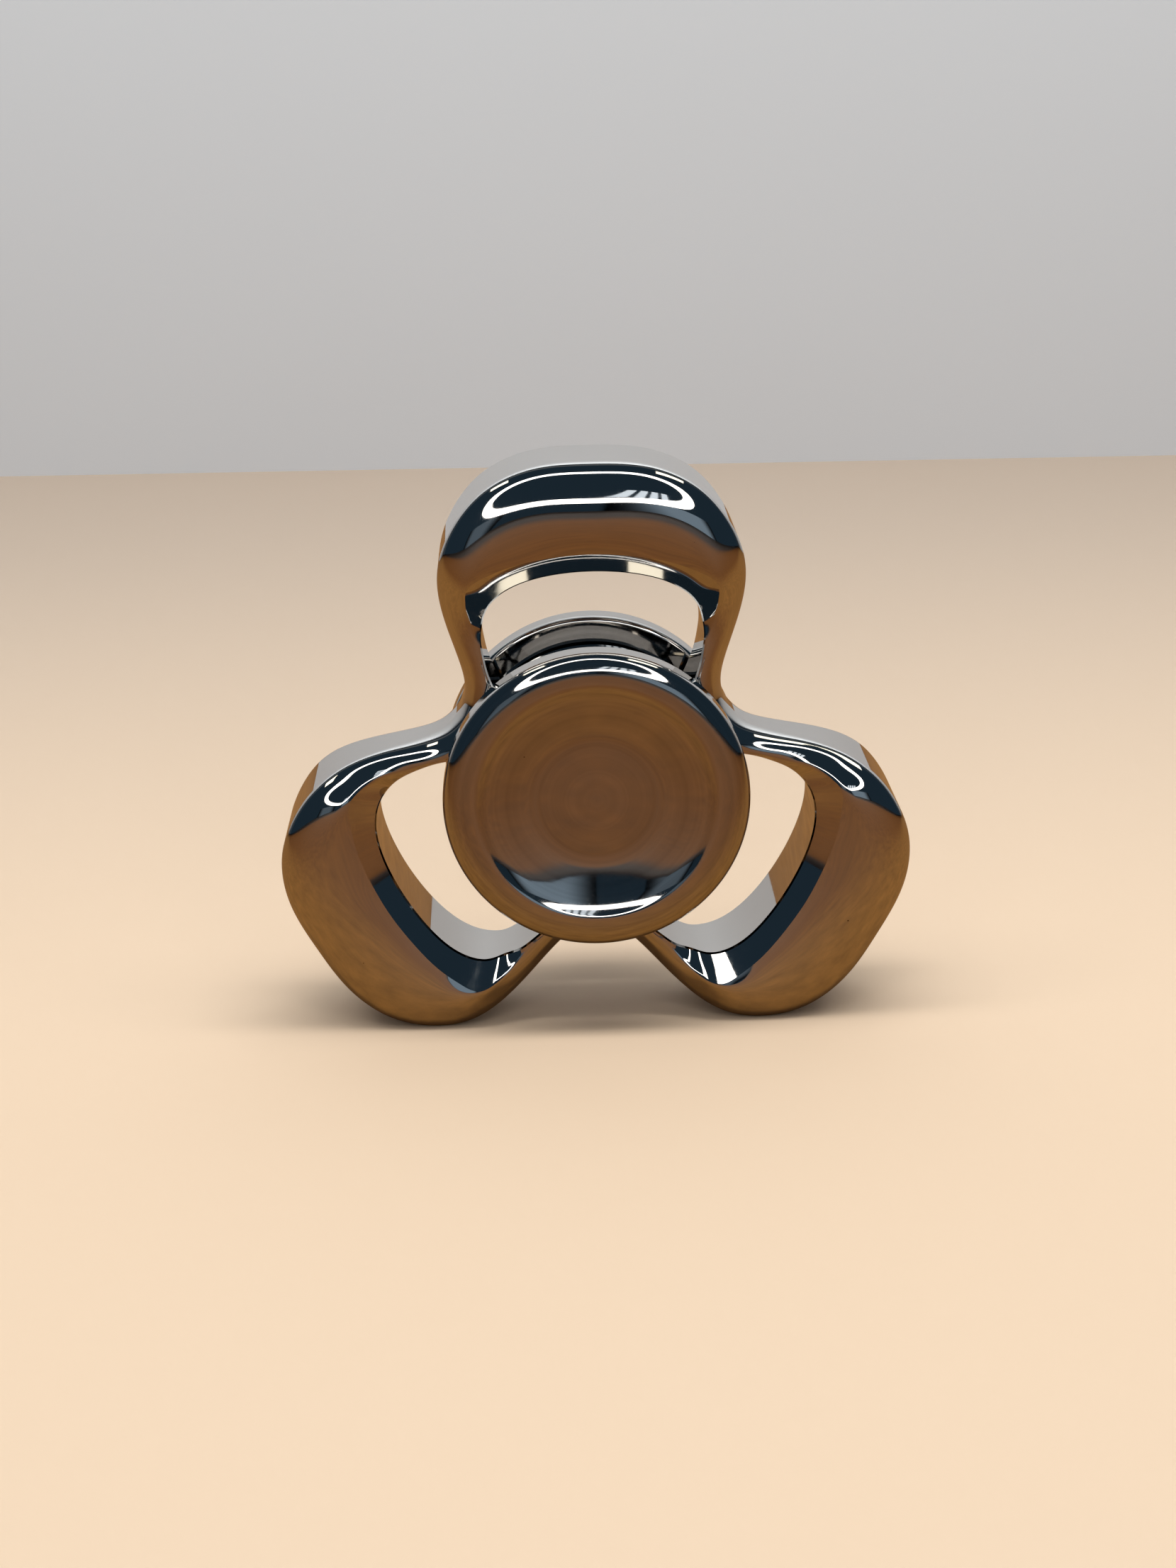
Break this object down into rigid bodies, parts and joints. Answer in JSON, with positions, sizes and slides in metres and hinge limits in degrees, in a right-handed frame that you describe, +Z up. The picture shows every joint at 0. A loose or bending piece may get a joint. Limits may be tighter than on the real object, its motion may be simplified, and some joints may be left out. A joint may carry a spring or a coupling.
{
  "type": "fidget spinner",
  "caption": "Mirror-polished metal fidget spinner with three looped lobes that turns on a ball bearing between two dished finger buttons.",
  "frame": {"origin": "centre of the footprint at the surface that the two lower lobes stand on", "axes": "+Y along the spin axis from the front button to the rear button, +Z up through the top lobe, +X to the right seen from the front"},
  "size_m": [0.05, 0.0142, 0.046],
  "materials": {
    "polished_steel": "mirror polished",
    "button_steel": "mirror polished, with fine turning marks",
    "bearing_steel": "ground and polished",
    "cage_brass": "satin",
    "stud_steel": "black oxide",
    "oring_rubber": "matt"
  },
  "bodies": {
    "spinner": {"body": "polished_steel", "bearing_outer_ring": "bearing_steel"},
    "buttons": {"front_button": "button_steel", "rear_button": "button_steel", "front_shim": "bearing_steel", "rear_shim": "bearing_steel", "button_stud": "stud_steel", "stud_oring": "oring_rubber", "bearing_inner_ring": "bearing_steel"},
    "cage": {"bearing_cage": "cage_brass"},
    "ball_01": {"bearing_ball_01": "bearing_steel"},
    "ball_02": {"bearing_ball_02": "bearing_steel"},
    "ball_03": {"bearing_ball_03": "bearing_steel"},
    "ball_04": {"bearing_ball_04": "bearing_steel"},
    "ball_05": {"bearing_ball_05": "bearing_steel"},
    "ball_06": {"bearing_ball_06": "bearing_steel"},
    "ball_07": {"bearing_ball_07": "bearing_steel"},
    "ball_08": {"bearing_ball_08": "bearing_steel"},
    "ball_09": {"bearing_ball_09": "bearing_steel"},
    "ball_10": {"bearing_ball_10": "bearing_steel"}
  },
  "joints": [
    {"name": "button_spin", "type": "hinge", "parent": "spinner", "child": "buttons", "pos_m": [0, 0, 0.01984], "axis": [0, 1, 0], "continuous": true},
    {"name": "cage_orbit", "type": "hinge", "parent": "spinner", "child": "cage", "pos_m": [0, 0, 0.01984], "axis": [0, 1, 0], "continuous": true},
    {"name": "ball_01_roll", "type": "hinge", "parent": "cage", "child": "ball_01", "pos_m": [0, 0, 0.02461], "axis": [0, 1, 0], "continuous": true},
    {"name": "ball_02_roll", "type": "hinge", "parent": "cage", "child": "ball_02", "pos_m": [0.0028, 0, 0.0237], "axis": [0, 1, 0], "continuous": true},
    {"name": "ball_03_roll", "type": "hinge", "parent": "cage", "child": "ball_03", "pos_m": [0.00453, 0, 0.02131], "axis": [0, 1, 0], "continuous": true},
    {"name": "ball_04_roll", "type": "hinge", "parent": "cage", "child": "ball_04", "pos_m": [0.00453, 0, 0.01837], "axis": [0, 1, 0], "continuous": true},
    {"name": "ball_05_roll", "type": "hinge", "parent": "cage", "child": "ball_05", "pos_m": [0.0028, 0, 0.01599], "axis": [0, 1, 0], "continuous": true},
    {"name": "ball_06_roll", "type": "hinge", "parent": "cage", "child": "ball_06", "pos_m": [0, 0, 0.01508], "axis": [0, 1, 0], "continuous": true},
    {"name": "ball_07_roll", "type": "hinge", "parent": "cage", "child": "ball_07", "pos_m": [-0.0028, 0, 0.01599], "axis": [0, 1, 0], "continuous": true},
    {"name": "ball_08_roll", "type": "hinge", "parent": "cage", "child": "ball_08", "pos_m": [-0.00453, 0, 0.01837], "axis": [0, 1, 0], "continuous": true},
    {"name": "ball_09_roll", "type": "hinge", "parent": "cage", "child": "ball_09", "pos_m": [-0.00453, 0, 0.02131], "axis": [0, 1, 0], "continuous": true},
    {"name": "ball_10_roll", "type": "hinge", "parent": "cage", "child": "ball_10", "pos_m": [-0.0028, 0, 0.0237], "axis": [0, 1, 0], "continuous": true}
  ],
  "couplings": [
    {"joint": "cage_orbit", "follows": "button_spin", "ratio": 0.41667},
    {"joint": "ball_01_roll", "follows": "button_spin", "ratio": -2.9167},
    {"joint": "ball_02_roll", "follows": "button_spin", "ratio": -2.9167},
    {"joint": "ball_03_roll", "follows": "button_spin", "ratio": -2.9167},
    {"joint": "ball_04_roll", "follows": "button_spin", "ratio": -2.9167},
    {"joint": "ball_05_roll", "follows": "button_spin", "ratio": -2.9167},
    {"joint": "ball_06_roll", "follows": "button_spin", "ratio": -2.9167},
    {"joint": "ball_07_roll", "follows": "button_spin", "ratio": -2.9167},
    {"joint": "ball_08_roll", "follows": "button_spin", "ratio": -2.9167},
    {"joint": "ball_09_roll", "follows": "button_spin", "ratio": -2.9167},
    {"joint": "ball_10_roll", "follows": "button_spin", "ratio": -2.9167}
  ]
}
